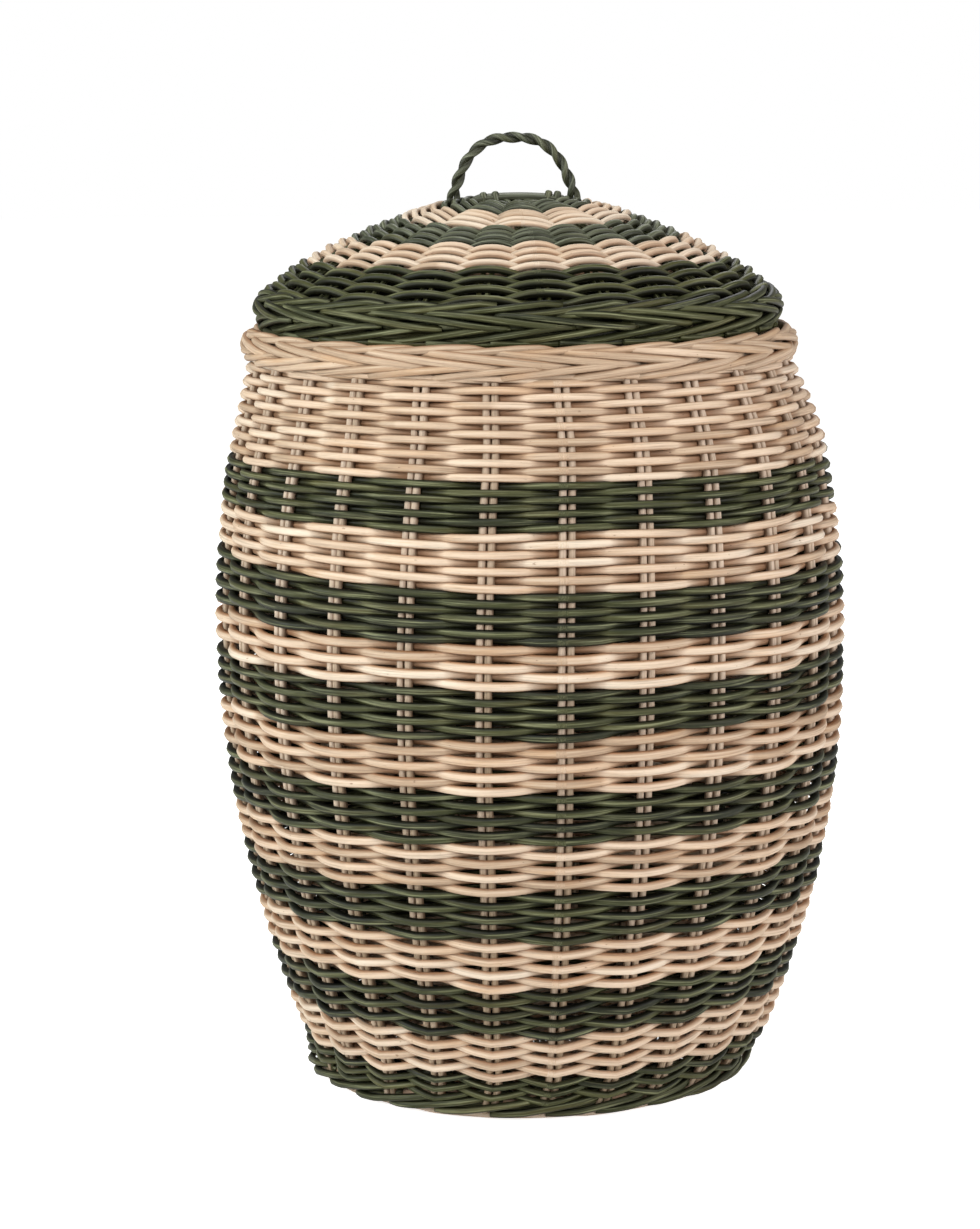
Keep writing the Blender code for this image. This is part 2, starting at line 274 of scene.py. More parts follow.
def swing(phase):
    """From -1 behind a stake to 1 in front of it, flattened where the cane lies against the stake."""
    wave = np.cos(math.pi * phase)
    return wave * (1.25 - 0.25 * wave * wave)


def zigzag(phase):
    """The same as a straight line from stake to stake."""
    return 1.0 - 2.0 * np.abs((phase + 1.0) % 2.0 - 1.0)


CHANGED_CHANCE = 0.07         # how often a length of cane is of a browner kind
CHANGED_TONE = -0.25


def cane_tone(count, changes):
    """Tone along a row: the weaver is changed for another at a few places."""
    at = np.sort(rng.integers(0, count, changes))
    tones = np.clip(rng.normal(0.52, 0.20, changes + 1), 0.0, 1.0)
    tones = np.where(rng.random(changes + 1) < CHANGED_CHANCE, CHANGED_TONE, tones)
    line = tones[np.searchsorted(at, np.arange(count), side="right")]
    line[np.arange(count) >= at[-1]] = tones[0]
    return line


# ---------------------------------------------------------------- wall

def wall_curve(z):
    return np.where(np.asarray(z) < BELLY_HEIGHT, LOWER_CURVE, UPPER_CURVE)


def hull_radius(z):
    """Outside radius of the weave."""
    return BELLY_RADIUS - wall_curve(z) * (z - BELLY_HEIGHT) ** 2 + by_height(z, BULGE)


def hull_slope(z):
    return -2.0 * wall_curve(z) * (z - BELLY_HEIGHT)


wave_size = rng.normal(0.0, EDGE_WAVE, (len(EDGE_LEAN), EDGE_WAVES))
wave_phase = rng.uniform(0.0, FULL_TURN, (len(EDGE_LEAN), EDGE_WAVES))


def edge_shift(edge, angle, radius):
    """How far an edge of a stripe lies above its nominal height. Edge 0 is the rim's, edge 1 is under
    the first stripe, and the last one, at the foot, is level."""
    if edge == len(EDGE_LEAN) - 1:
        return np.zeros_like(angle)
    lean_x, lean_y = EDGE_LEAN[edge]
    shift = radius * (lean_x * np.cos(angle) + lean_y * np.sin(angle))
    if edge > 0:
        for m in range(EDGE_WAVES):
            shift = shift + wave_size[edge, m] * np.cos((m + 2) * angle + wave_phase[edge, m])
    return shift


def wall_row(canes, number, stripe, share, top, bottom, pitch):
    """One cane round the basket, at this share of the way down its stripe."""
    u = round_trip(SAMPLES)
    nominal = top + (bottom - top) * share
    angle = stake_turn(u) + wind(nominal)
    spread = hull_radius(nominal)
    upper = top + edge_shift(stripe, angle, spread)
    lower = bottom + edge_shift(stripe + 1, angle, spread)
    s = swing(u + number)
    out = chance(0.05, u)
    rise = chance(0.00014, u)
    back = np.clip(0.5 + 1.2 * np.sin(angle), 0.0, 1.0)
    front_lift = by_height(nominal, LIFT)
    lift = front_lift + (BACK_LIFT * (nominal - BACK_LEVEL) - front_lift) * back
    sharp = np.interp(nominal, (BENT_BELOW, ROUND_ABOVE), (1.0, 0.0)) * (1.0 - back)
    bent = s + (zigzag(u + number) - s) * sharp
    z = upper + (lower - upper) * share + lift * bent + rise
    radius = hull_radius(z) - STAKE_DEPTH + CREST * s * (1.0 + out)
    slope = float(hull_slope(nominal))
    outward = np.stack([np.cos(angle), np.sin(angle), np.full_like(angle, -slope)], -1)
    thick = min(CANE_SHARE * pitch, CANE_MOST) * rng.normal(1.0, 0.03) * (1.0 + chance(0.02, u))
    thick = thick * (1.0 + BACK_THICK * back)
    tone = cane_tone(len(u), 3)
    canes.add(polar(angle, radius, z), outward, thick, closed=True, tone=tone, deep=-s)


def build_wall(natural, green):
    number = 0
    for stripe, rows in enumerate(WALL_ROWS):
        colour, material = ("green", green) if stripe % 2 == 1 else ("natural", natural)
        node = f"wall_band_{stripe + 1:02d}_{colour}"
        low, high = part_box(node)
        canes = Canes(8)
        pitch = (high.z - low.z) / rows
        shares = (np.arange(rows) + 0.5) / rows + rng.normal(0.0, 0.015, rows) / rows
        for share in shares:
            wall_row(canes, number, stripe, share, high.z, low.z, pitch)
            number += 1
        canes.build(f"weave_{stripe + 1:02d}_{colour}", material, [node], "basket")


STAKE_LOW = 0.0040
STAKE_HIGH = 0.4700
STAKE_KNOTS = 7               # places up a stake where it bends by chance
SHADE_BELOW = 0.33             # painted shade: the stakes' tone is lower at the floor by the figure below, and less so up to here
STAKE_SHADE = 0.6


def build_stakes(material):
    canes = Canes(8)
    z = np.linspace(STAKE_LOW, STAKE_HIGH, 120)
    knots = np.linspace(STAKE_LOW, STAKE_HIGH, STAKE_KNOTS)
    nodes = []
    for k in range(STAKES):
        angle = stake_angle(k) + wind(z)
        radial = polar(angle, 1.0, 0.0)
        across = polar(angle + 0.5 * math.pi, 1.0, 0.0)
        for sign in (-1.0, 1.0):
            apart = STAKE_APART + np.interp(z, knots, rng.uniform(-0.0001, 0.0003, STAKE_KNOTS))
            lean = np.interp(z, knots, rng.normal(0.0, 0.0003, STAKE_KNOTS))
            depth = np.interp(z, knots, rng.normal(0.0, 0.00012, STAKE_KNOTS))
            radius = hull_radius(z) - STAKE_DEPTH + depth
            path = radial * radius[:, None] + across * (sign * apart + lean)[:, None]
            path[:, 2] = z
            thick = STAKE_CANE * rng.normal(1.0, 0.03)
            # Painted shade, darker towards the floor where the rows above shadow the stakes.
            tone = rng.normal(0.6, 0.15) - STAKE_SHADE * np.clip(1.0 - z / SHADE_BELOW, 0.0, 1.0)
            canes.add(path, radial, thick, tone=np.clip(tone, 0.0, 1.0))
        nodes.append(f"stake_pair_{k + 1:02d}")
    canes.build("stakes", material, nodes, "basket")


# ---------------------------------------------------------------- plaits

def plait(canes, radius, length, line, wobble=1.0, tone=0.5, dip=0.0):
    """A cane of this radius from each stake, as long as so many stake spacings. line is (share, radius,
    height) from the end where a cane comes out to the end where it tucks in. wobble is how uneven the
    canes are, and the ring lies lower by dip at the left and right."""
    knots, radii, heights = (np.array(c) for c in zip(*line))
    t = np.linspace(0.0, 1.0, 26)
    for k in range(STAKES):
        u = k + length * t + rng.normal(0.0, 0.05) * wobble
        angle = FIRST_STAKE + u * STEP + wind(float(np.mean(heights)))
        r = eased(t, knots, radii) + rng.normal(0.0, 0.00018) * wobble
        z = eased(t, knots, heights) + rng.normal(0.0, 0.00030) * wobble
        bend = rng.normal(0.0, 0.00035) * wobble * np.sin(math.pi * t) - dip * np.cos(angle) ** 2
        thick = radius * rng.normal(1.0, 0.045)
        cane_shade = np.clip(rng.normal(tone, 0.22), 0.0, 1.0)
        canes.add(polar(angle, r, z + bend), polar(angle, 1.0, 0.0), thick, tone=cane_shade)


def build_rim(material):
    canes = Canes(10)
    # Over the top, then the upper and the lower half of the herringbone on the outside.
    # Painted shade under the lid: these three outer canes get the darkest tone.
    plait(canes, 0.0025, 2.0, (
        (0.0, 0.1660, 0.4750), (0.14, 0.1700, 0.4758), (0.35, 0.1708, 0.4768),
        (0.70, 0.1692, 0.4790), (0.86, 0.1665, 0.4788), (1.0, 0.1630, 0.4757),
    ), tone=0.0)
    plait(canes, 0.0025, 2.2, (
        (0.0, 0.1680, 0.4766), (0.12, 0.1720, 0.4762), (0.30, 0.1735, 0.4748),
        (0.75, 0.1742, 0.4703), (0.88, 0.1724, 0.4690), (1.0, 0.1685, 0.4680),
    ), tone=0.0)
    plait(canes, 0.0025, 2.2, (
        (0.0, 0.1660, 0.4606), (0.12, 0.1712, 0.4622), (0.30, 0.1730, 0.4640),
        (0.75, 0.1742, 0.4680), (0.88, 0.1722, 0.4694), (1.0, 0.1685, 0.4704),
    ), tone=0.0)
    # Under the top, down the inside, behind the herringbone, and along the lower edge.
    plait(canes, 0.0022, 2.0, (
        (0.0, 0.1680, 0.4740), (0.15, 0.1668, 0.4752), (0.50, 0.1648, 0.4754),
        (0.85, 0.1635, 0.4750), (1.0, 0.1622, 0.4735),
    ), wobble=0.4)
    plait(canes, 0.0023, 2.0, (
        (0.0, 0.1640, 0.4735), (0.20, 0.1618, 0.4722), (0.50, 0.1615, 0.4692),
        (0.80, 0.1620, 0.4655), (1.0, 0.1645, 0.4630),
    ), wobble=0.6)
    plait(canes, 0.0023, 2.0, (
        (0.0, 0.1672, 0.4612), (0.20, 0.1668, 0.4618), (0.50, 0.1676, 0.4655),
        (0.80, 0.1680, 0.4700), (1.0, 0.1670, 0.4735),
    ), wobble=0.3)
    plait(canes, 0.0023, 2.0, (
        (0.0, 0.1665, 0.4640), (0.20, 0.1690, 0.4632), (0.50, 0.1696, 0.4624),
        (0.80, 0.1690, 0.4614), (1.0, 0.1665, 0.4606),
    ), wobble=0.3)
    canes.build("rim_plait", material, ["rim_border_natural"], "basket")


def build_foot(natural, green):
    canes = Canes(8)
    # The outside, the inside, and between the two.
    plait(canes, 0.0024, 2.0, (
        (0.0, 0.1375, 0.0048), (0.12, 0.1408, 0.0052), (0.30, 0.1426, 0.0064),
        (0.75, 0.1436, 0.0120), (0.88, 0.1418, 0.0136), (1.0, 0.1375, 0.0142),
    ), wobble=0.8, dip=0.0011)
    plait(canes, 0.0023, 2.2, (
        (0.0, 0.1385, 0.0120), (0.15, 0.1345, 0.0110), (0.50, 0.1338, 0.0092),
        (0.85, 0.1342, 0.0072), (1.0, 0.1370, 0.0062),
    ), wobble=0.6, dip=0.0010)
    plait(canes, 0.0023, 2.2, (
        (0.0, 0.1385, 0.0070), (0.20, 0.1362, 0.0078), (0.50, 0.1356, 0.0090),
        (0.80, 0.1362, 0.0102), (1.0, 0.1385, 0.0116),
    ), wobble=0.4)
    canes.build("foot_waling", green, ["foot_waling_green"], "basket")
    canes = Canes(8)
    # The outer edge that it stands on, and the ring inside that.
    plait(canes, 0.0022, 2.4, (
        (0.0, 0.1330, 0.0058), (0.12, 0.1352, 0.0043), (0.35, 0.1358, 0.0030),
        (0.75, 0.1340, 0.0027), (1.0, 0.1305, 0.0034),
    ), wobble=0.4)
    plait(canes, 0.0021, 2.2, (
        (0.0, 0.1325, 0.0028), (0.25, 0.1310, 0.0028), (0.60, 0.1290, 0.0029),
        (1.0, 0.1272, 0.0055),
    ), wobble=0.4)
    canes.build("foot_plait", natural, ["foot_border_natural"], "basket")


# ---------------------------------------------------------------- base

BASE_LEVEL = 0.0145           # height of the middle of the base
BASE_ROWS = 21
BASE_INNER = 0.0350           # radius of the first row
BASE_OUTER = 0.1365           # and of the last
BASE_CREST = 0.0034
BASE_CANE = 0.0026
SPOKE_CANE = 0.0017
STICKS = 7                    # crossed sticks in the middle, each way
STICK_CANE = 0.0019
STICK_SPACING = 0.0040
STICK_REACH = 0.0335          # half the length of the middle stick
STICK_ROUND = 0.034           # the outer ones are shorter, as in a circle of this radius


def build_base(natural, stake):
    canes = Canes(6)
    for i in range(BASE_ROWS):
        u = round_trip(6)
        angle = stake_turn(u)
        radius = BASE_INNER + (BASE_OUTER - BASE_INNER) * i / (BASE_ROWS - 1) + chance(0.0003, u)
        path = polar(angle, radius, 0.0)
        path[:, 2] = BASE_LEVEL + BASE_CREST * swing(u + i)
        canes.add(path, UP, BASE_CANE, closed=True, tone=cane_tone(len(u), 3))
    canes.build("base_weave_rows", natural, ["base_weave"], "basket")
    canes = Canes(6)
    for k in range(STAKES):
        radius = np.linspace(0.0290, 0.1312, 12)
        path = polar(np.full_like(radius, stake_angle(k)), radius, BASE_LEVEL)
        canes.add(path, UP, SPOKE_CANE, tone=rng.uniform(0.2, 0.8))
    for axis, height in ((0, BASE_LEVEL + STICK_CANE), (1, BASE_LEVEL - STICK_CANE)):
        for j in range(STICKS):
            offset = (j - STICKS // 2) * STICK_SPACING
            reach = STICK_REACH * math.sqrt(max(0.25, 1.0 - (offset / STICK_ROUND) ** 2))
            path = np.zeros((8, 3))
            path[:, axis] = np.linspace(-reach, reach, 8)
            path[:, 1 - axis] = offset
            path[:, 2] = height
            canes.add(path, UP, STICK_CANE, tone=rng.uniform(0.2, 0.8))
    canes.build("base_spokes", stake, ["base_sticks"], "basket")


# ---------------------------------------------------------------- lid

LID_CREST = 0.0034
LID_SIDES = 0.0017            # the lid is this much fuller at its left and right
FULL_FROM = (0.105, 0.135)    # between these distances from the axis the fullness grows
FULL_TO = (0.150, 0.160)      # and between these it goes
FRONT = -0.5 * math.pi
GROUP_CENTRE = math.radians(-86.0)    # the group of stakes next to the front, in the middle of the lid
GROUPS = STAKES // 2          # two stakes each
LINING_DEPTH = 0.0117
LINING_CANE = 0.0025
CROWN_CANE = 0.0021


def dome(angle, rho, depth):
    """The point so far under the dome at this angle and distance from the axis, and the normal there."""
    lean = 2.0 * LID_DOME * rho
    size = np.sqrt(1.0 + lean * lean)
    normal = np.stack([np.cos(angle) * lean / size, np.sin(angle) * lean / size, 1.0 / size], -1)
    point = polar(angle, rho, 0.0)
    fuller = np.interp(rho, FULL_FROM + FULL_TO, (0.0, 1.0, 1.0, 0.0))
    point[..., 2] = LID_TOP - LID_DOME * rho * rho + LID_SIDES * fuller * np.cos(angle) ** 2
    return point - normal * np.reshape(depth, (-1, 1)), normal


def frontness(angle):
    """1 at the front of the lid, 0 at the back: the rings aren't quite centred on the lid."""
    return (0.5 + 0.5 * np.cos(angle - FRONT)) ** 2


def lid_row(canes, number, rho, ahead, size, painted_light):
    """A single row over all the stakes. ahead is how much further out it lies at the front, size is the
    cane's radius, and the last argument is added to its tone as painted light from above."""
    u = round_trip(SAMPLES)
    angle = stake_turn(u)
    s = swing(u + number) * (1.0 + chance(0.05, u))
    rho = rho + ahead * frontness(angle) + chance(0.00030, u)
    point, normal = dome(angle, rho, STAKE_DEPTH - LID_CREST * s)
    thick = size * rng.normal(1.0, 0.04)
    canes.add(point, normal, thick, closed=True, tone=cane_tone(len(u), 3) + painted_light, deep=-s)


def lid_lining(canes):
    """Plain rings inside the stakes, which close the gaps next to the border."""
    u = round_trip(4)
    angle = stake_turn(u)
    for rho in (0.1570, 0.1612):
        point, normal = dome(angle, rho - 0.0050 * frontness(angle), np.full_like(u, LINING_DEPTH))
        canes.add(point, normal, LINING_CANE, closed=True, tone=0.3)


def lid_pairing(canes, rho, ahead, painted_light, lift=0.0040, sink=0.0):
    """Two canes twisted round each other, half a turn for every group of stakes. The groups are odd in
    number, so that the second cane goes on from the first after one round. lift is how far they swing
    out and in, and sink is how much deeper the ring lies than the stakes."""
    v = np.arange(2 * GROUPS * 16) / 16.0
    angle = GROUP_CENTRE + v * 2.0 * STEP
    spread = rho + ahead * frontness(angle) + chance(0.0004, v, GROUPS)
    along = spread + 0.0021 * np.sin(math.pi * v)
    rise = lift * swing(v) * (1.0 + chance(0.06, v, GROUPS))
    point, normal = dome(angle, along, STAKE_DEPTH + sink - rise)
    thick = CROWN_CANE * rng.normal(1.0, 0.04)
    # Painted light from above: the tone is raised by the given amount.
    canes.add(point, normal, thick, closed=True, tone=cane_tone(len(v), 2) + painted_light)


def build_lid_weave(natural, green, sheen_green):
    # Piece and CAD node, material and slot, from where to where it goes and how much further out it is
    # there at the front, whether its first row starts in front of or behind a stake, radius of its
    # canes, how much its tone is raised as painted light from above, and whether it has the lining.
    zones = (
        ("lid_outer_green", "lid_band_outer_green", green, "green_cane",
         (0.1380, 0.1625), (-0.0092, -0.0050), 1, 0.0024, 0.15, True),
        ("lid_outer_natural", "lid_band_outer_natural", natural, "natural_cane",
         (0.1070, 0.1380), (-0.0030, -0.0095), 0, 0.0023, 0.15, False),
        ("lid_inner_green", "lid_band_inner_green", sheen_green, "green_cane",
         (0.0700, 0.1070), (0.0130, -0.0030), 1, 0.0022, 0.35, False),
    )
    rows = 7
    for name, node, material, slot, (inner, outer), ahead_ends, first, size, painted_light, lined in zones:
        inner_ahead, outer_ahead = ahead_ends
        canes = Canes(8)
        for i in range(rows):
            share = (i + 0.5) / rows
            rho = inner + (outer - inner) * share
            ahead = inner_ahead + (outer_ahead - inner_ahead) * share
            lid_row(canes, i + first, rho, ahead, size, painted_light)
        if lined:
            lid_lining(canes)
        canes.build(name, material, [node], "lid")
    canes = Canes(8)
    for rho, ahead in ((0.0495, 0.0098), (0.0555, 0.0107), (0.0615, 0.0116), (0.0675, 0.0125)):
        lid_pairing(canes, rho, ahead, 0.0)
    canes.build("lid_inner_natural", natural, ["lid_band_inner_natural"], "lid")


CROWN_STICKS = 6              # crossed sticks in the crown, each way
CROWN_SPACING = 0.0042
CROWN_REACH = 0.0370          # half their length
CROWN_LEVEL = 0.5583          # of those along X
CROWN_UNDER = 0.5545          # of those along Y, which lie under them
CROWN_BOW = 0.0030
CROWN_DROP = 0.0070           # at their ends, which are tucked into the weave
STUBS = ((-0.0201, 0.5646), (-0.0125, 0.5651), (0.0198, 0.5654), (0.0254, 0.5650))    # x, top
STUB_Y = -0.0110
STUB_CANE = 0.0025


def build_lid_crown(green):
    canes = Canes(10)
    for rho, ahead in ((0.0310, 0.0070), (0.0370, 0.0080), (0.0430, 0.0090)):
        lid_pairing(canes, rho, ahead, 0.1)
    t = np.linspace(-1.0, 1.0, 25)
    along = CROWN_REACH * t
    bow = CROWN_BOW * (1.0 - t * t)
    drop = CROWN_DROP * np.clip((np.abs(t) - 0.62) / 0.38, 0.0, 1.0) ** 1.5
    for j in range(CROWN_STICKS):
        offset = (j - 0.5 * (CROWN_STICKS - 1)) * CROWN_SPACING
        across = np.full_like(t, offset) * (1.0 + 0.15 * np.abs(t))
        path = np.stack([along, across, CROWN_LEVEL + bow - drop], -1)
        path[:, 2] += rng.normal(0.0, 0.0002)
        canes.add(path, UP, CROWN_CANE, tone=rng.uniform(0.5, 1.0))
        path = np.stack([across, along, CROWN_UNDER + 0.5 * bow - drop], -1)
        canes.add(path, UP, CROWN_CANE, tone=rng.uniform(0.2, 0.8))
    # Short ends of cane that stick up, rounded at the top.
    thick = np.append(np.full(7, STUB_CANE), (0.0023, 0.0016, 0.0007))
    for x, top in STUBS:
        height = np.append(np.linspace(0.5540, top - 0.0024, 7), (top - 0.0010, top - 0.0003, top))
        splayed = np.full_like(height, x) + 0.20 * (height - 0.560) * np.sign(x)
        path = np.stack([splayed, np.full_like(height, STUB_Y), height], -1)
        canes.add(path, (0.0, -1.0, 0.0), thick, tone=0.6)
    for rho, ahead in ((0.0140, 0.0020), (0.0190, 0.0036), (0.0248, 0.0052)):
        lid_pairing(canes, rho, ahead, 0.1, lift=0.0022, sink=0.0016)
    canes.build("lid_crown", green, ["lid_crown_green"], "lid")


LID_STAKE_CANE = 0.0017
PARTING = 0.0120              # a group of stakes parts over this length
PARTING_FROM = 0.0660         # which starts here, and as much further out at the front


def build_lid_stakes(material):
    canes = Canes(8)
    rho = np.linspace(0.0300, 0.1600, 60)
    for k in range(STAKES):
        straight = stake_angle(k)
        shared = GROUP_CENTRE + (k + 1) // 2 * 2.0 * STEP
        gap = (straight - shared + math.pi) % FULL_TURN - math.pi
        parted = (rho - PARTING_FROM - PARTING * frontness(straight)) / PARTING
        parted = smoothstep(np.clip(parted, 0.0, 1.0))
        shift = -1.0 if k % 2 else 1.0
        for sign in (-1.0, 1.0):
            sideways = shift * 0.0030 * (1.0 - parted) + sign * (0.0015 + 0.0012 * parted)
            angle = shared + gap * parted + sideways / rho
            point, normal = dome(angle, rho, np.full_like(rho, STAKE_DEPTH + 0.0008))
            # Painted shade: the lid's stakes get a low tone, as they lie in the shadowed gaps of the
            # weave.
            canes.add(point, normal, LID_STAKE_CANE, tone=rng.uniform(0.0, 0.4))
    canes.build("lid_stake_pairs", material, ["lid_stakes"], "lid")


def build_lid_border(green):
    canes = Canes(10)
    # The lower and the upper half of the herringbone on the outside, and the row above it.
    plait(canes, 0.0023, 2.2, (
        (0.0, 0.1590, 0.4814), (0.12, 0.1612, 0.4820), (0.30, 0.1624, 0.4834),
        (0.75, 0.1650, 0.4894), (0.88, 0.1642, 0.4911), (1.0, 0.1608, 0.4912),
    ))
    plait(canes, 0.0023, 2.2, (
        (0.0, 0.1605, 0.4990), (0.12, 0.1636, 0.4990), (0.30, 0.1648, 0.4978),
        (0.75, 0.1658, 0.4926), (0.88, 0.1646, 0.4912), (1.0, 0.1605, 0.4905),
    ))
    plait(canes, 0.0023, 2.1, (
        (0.0, 0.1600, 0.4974), (0.12, 0.1628, 0.4982), (0.30, 0.1634, 0.4994),
        (0.75, 0.1600, 0.5034), (0.88, 0.1580, 0.5045), (1.0, 0.1545, 0.5030),
    ))
    # Along the lower edge, up the inside, and two rings behind the herringbone.
    plait(canes, 0.0022, 2.0, (
        (0.0, 0.1630, 0.4818), (0.20, 0.1622, 0.4814), (0.50, 0.1604, 0.4813),
        (0.80, 0.1585, 0.4816), (1.0, 0.1570, 0.4835),
    ), wobble=0.3)
    plait(canes, 0.0023, 2.0, (
        (0.0, 0.1600, 0.4836), (0.20, 0.1578, 0.4846), (0.50, 0.1568, 0.4876),
        (0.80, 0.1560, 0.4910), (1.0, 0.1570, 0.4945),
    ), wobble=0.6)
    plait(canes, 0.0027, 2.0, (
        (0.0, 0.1600, 0.4925), (0.20, 0.1592, 0.4920), (0.50, 0.1600, 0.4915),
        (0.80, 0.1592, 0.4910), (1.0, 0.1600, 0.4905),
    ), wobble=0.3)
    plait(canes, 0.0026, 2.0, (
        (0.0, 0.1590, 0.4952), (0.20, 0.1578, 0.4960), (0.50, 0.1574, 0.4974),
        (0.80, 0.1564, 0.4986), (1.0, 0.1545, 0.4998),
    ), wobble=0.3)
    canes.build("lid_plait", green, ["lid_border_green"], "lid")


# ---------------------------------------------------------------- handle

# The right half of the loop from its foot to the top, (x, z).
HANDLE_HALF = (
    (0.0385, 0.5525), (0.0380, 0.5600), (0.0372, 0.5648), (0.0338, 0.5745),
    (0.0284, 0.5850), (0.0200, 0.5935), (0.0104, 0.5974), (0.0, 0.5982),
)
HANDLE_TWIST = 5.0            # turns from foot to foot
HANDLE_SHIFT = -0.0016        # it stands this far off the middle of the lid
HANDLE_FOOT = 0.0085          # length of each end that isn't twisted
HANDLE_APART = 0.00122        # from the middle of the pair to each cane
HANDLE_CANE = 0.00235
FOOT_APART = 0.00095          # how much further apart the canes are at the feet
FOOT_THIN = 0.00025           # and how much thinner


def smooth_line(points, per_part):
    """Catmull-Rom curve through the points."""
    points = np.array(points, float)
    points = np.vstack([2.0 * points[0] - points[1], points, 2.0 * points[-1] - points[-2]])
    t = np.arange(per_part)[:, None] / per_part
    rows = []
    for a, b, c, d in zip(points, points[1:], points[2:], points[3:]):
        rows.append(0.5 * (2.0 * b + (c - a) * t + (2.0 * a - 5.0 * b + 4.0 * c - d) * t ** 2
                           + (3.0 * b - a - 3.0 * c + d) * t ** 3))
    rows.append(points[-2:-1])
    return np.vstack(rows)


def build_handle(green):
    left = tuple((-x, z) for x, z in reversed(HANDLE_HALF[:-1]))
    line = smooth_line(HANDLE_HALF + left, 18)
    centre = np.stack([line[:, 0] + HANDLE_SHIFT, np.zeros(len(line)), line[:, 1]], -1)
    tangent = np.gradient(centre, axis=0)
    tangent /= np.linalg.norm(tangent, axis=1)[:, None]
    plane = np.cross(tangent, (0.0, 1.0, 0.0))
    steps = np.linalg.norm(np.diff(centre, axis=0), axis=1)
    along = np.concatenate([[0.0], np.cumsum(steps)])
    share = np.clip((along - HANDLE_FOOT) / (along[-1] - 2.0 * HANDLE_FOOT), 0.0, 1.0)
    twist = FULL_TURN * HANDLE_TWIST * share
    foot = np.abs(np.cos(math.pi * share)) ** 16
    apart = HANDLE_APART + FOOT_APART * foot
    for index, name in enumerate(("a", "b")):
        canes = Canes(14)
        turn = twist + math.pi * index + 0.5 * math.pi
        offset = np.cos(turn)[:, None] * np.array([0.0, 1.0, 0.0]) + np.sin(turn)[:, None] * plane
        path = centre + apart[:, None] * offset
        canes.add(path, offset, HANDLE_CANE - FOOT_THIN * foot, tone=0.35 + 0.3 * index)
        canes.build(f"handle_cane_{name}", green, [f"handle_strand_{name}"], "lid")


# ---------------------------------------------------------------- materials

class Nodes:
    """Shorthand for adding linked shader nodes."""

    def __init__(self, name):
        self.material = bpy.data.materials.new(name)
        self.material.use_nodes = True
        self.tree = self.material.node_tree
        self.shader = self.tree.nodes["Principled BSDF"]

    def make(self, kind, inputs=None, **settings):
        node = self.tree.nodes.new(kind)
        for key, value in settings.items():
            setattr(node, key, value)
        for key, value in (inputs or {}).items():
            self.put(value, node.inputs[key])
        return node

    def put(self, value, socket):
        if isinstance(value, bpy.types.NodeSocket):
            self.tree.links.new(value, socket)
        else:
            socket.default_value = value

    def attribute(self, name, output="Fac"):
        return self.make("ShaderNodeAttribute", attribute_name=name).outputs[output]

    def stretched(self, vector, scale):
        return self.make("ShaderNodeVectorMath", {0: vector, 1: scale}, operation="MULTIPLY").outputs[0]

    def noise(self, vector, scale, detail=3.0, rough=0.55):
        node = self.make("ShaderNodeTexNoise", {"Vector": self.stretched(vector, scale), "Scale": 1.0,
                                                "Detail": detail, "Roughness": rough})
        return node.outputs["Fac"]

    def remap(self, value, low, high, to_low=0.0, to_high=1.0):
        node = self.make("ShaderNodeMapRange", {"Value": value, "From Min": low, "From Max": high,
                                                "To Min": to_low, "To Max": to_high})
        return node.outputs["Result"]

    def mix(self, share, a, b, blend="MIX"):
        # This node has sockets for every kind of value: 6, 7 and output 2 are the colours.
        node = self.make("ShaderNodeMix", data_type="RGBA", blend_type=blend)
        self.put(share, node.inputs[0])
        self.put(a, node.inputs[6])
        self.put(b, node.inputs[7])
        return node.outputs[2]

    def maths(self, operation, a, b):
        return self.make("ShaderNodeMath", {0: a, 1: b}, operation=operation).outputs[0]

    def ramp(self, value, stops):
        node = self.make("ShaderNodeValToRGB", {"Fac": value})
        ramp = node.color_ramp
        while len(ramp.elements) < len(stops):
            ramp.elements.new(0.5)
        for element, (place, colour) in zip(ramp.elements, stops):
            element.position = place
            element.color = (*colour, 1.0)
        return node.outputs["Color"]


